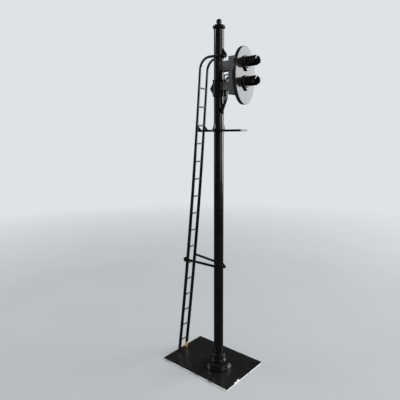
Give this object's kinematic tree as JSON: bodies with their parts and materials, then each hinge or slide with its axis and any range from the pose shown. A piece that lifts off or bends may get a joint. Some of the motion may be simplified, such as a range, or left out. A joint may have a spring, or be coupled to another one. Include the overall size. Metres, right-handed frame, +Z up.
{
  "type": "model signal mast",
  "caption": "Model railway signal mast with an oval target, hooded lamps, a leaning ladder, a service platform and a flat base plate.",
  "frame": {"origin": "on the mast's axis at the underside of the base plate", "axes": "+Z up the mast, +X the way the lamps face, with the ladder at -X"},
  "size_m": [0.0407, 0.0257, 0.1451],
  "materials": {
    "black_paint": "gloss black enamel over brass",
    "plate_paint": "satin black enamel over brass, edges worn",
    "head_paint": "satin dark grey-black enamel",
    "target_paint": "high gloss black enamel",
    "red_lens": "clear tinted epoxy",
    "green_lens": "clear tinted epoxy",
    "tinned_wire": "tinned",
    "wire_cover": "smooth black insulation"
  },
  "bodies": {
    "root": {"base_plate": "plate_paint", "mast_foot": "black_paint", "mast_tube": "black_paint", "finial_cap": "black_paint", "ladder_rail_left": "black_paint", "ladder_rail_right": "black_paint", "ladder_rungs": "black_paint", "ladder_top_gusset": "black_paint", "ladder_stay_left": "black_paint", "ladder_stay_right": "black_paint", "service_platform": "black_paint", "platform_collar": "black_paint", "platform_gussets": "black_paint", "head_clamp_band": "black_paint", "head_bracket": "head_paint", "lamp_housing": "head_paint", "target_plate": "target_paint", "upper_lamp_hood": "black_paint", "upper_lamp_bezel": "black_paint", "upper_led": "red_lens", "upper_led_leads": "tinned_wire", "lower_lamp_hood": "black_paint", "lower_lamp_bezel": "black_paint", "lower_led": "green_lens", "lower_led_leads": "tinned_wire", "lead_jumper": "tinned_wire", "common_wire": "wire_cover", "upper_lamp_wire": "wire_cover", "lower_lamp_wire": "wire_cover"}
  },
  "joints": []
}
